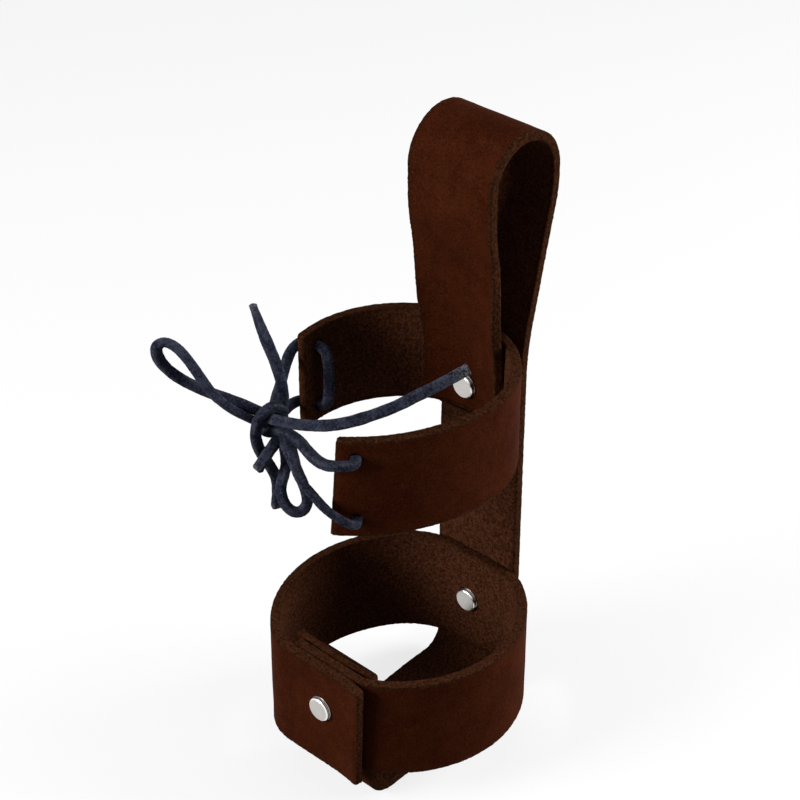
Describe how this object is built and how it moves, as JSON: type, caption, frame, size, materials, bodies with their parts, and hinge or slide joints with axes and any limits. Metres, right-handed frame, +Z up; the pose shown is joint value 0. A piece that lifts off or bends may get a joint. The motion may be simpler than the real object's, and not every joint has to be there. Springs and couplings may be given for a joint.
{
  "type": "bottle carrier",
  "caption": "Leather bottle carrier: a strap folded into a belt loop carries a riveted lower band and a laced upper band.",
  "frame": {"origin": "on the bottle's axis, on the underside of the base strap, which stands on the floor", "axes": "+Z up along the bottle's axis, -Y to the front where the lower band is riveted, +X to the carrier's right seen from the front"},
  "size_m": [0.091, 0.125, 0.2294],
  "materials": {
    "strap_leather": "dark brown oiled leather, matt, pressed fibre edges",
    "band_leather": "dark brown oiled leather, matt, pressed fibre edges",
    "rivet_metal": "nickel-plated, polished",
    "lace_leather": "blue-black round suede lace, napped"
  },
  "bodies": {
    "root": {"carrier_strap": "strap_leather", "lower_band": "band_leather", "upper_band": "band_leather", "front_rivet_cap": "rivet_metal", "front_rivet_base": "rivet_metal", "back_rivet_cap": "rivet_metal", "back_rivet_base": "rivet_metal", "loop_rivet_cap": "rivet_metal", "loop_rivet_base": "rivet_metal", "lace_knot": "lace_leather", "bow_loop_left": "lace_leather", "bow_loop_low": "lace_leather", "lace_end_up": "lace_leather", "lace_end_right": "lace_leather", "lace_strand_upper_right": "lace_leather", "lace_strand_lower_right": "lace_leather", "lace_strand_upper_left": "lace_leather", "lace_strand_lower_left": "lace_leather", "lace_bight_right": "lace_leather", "lace_bight_left": "lace_leather"}
  },
  "joints": []
}
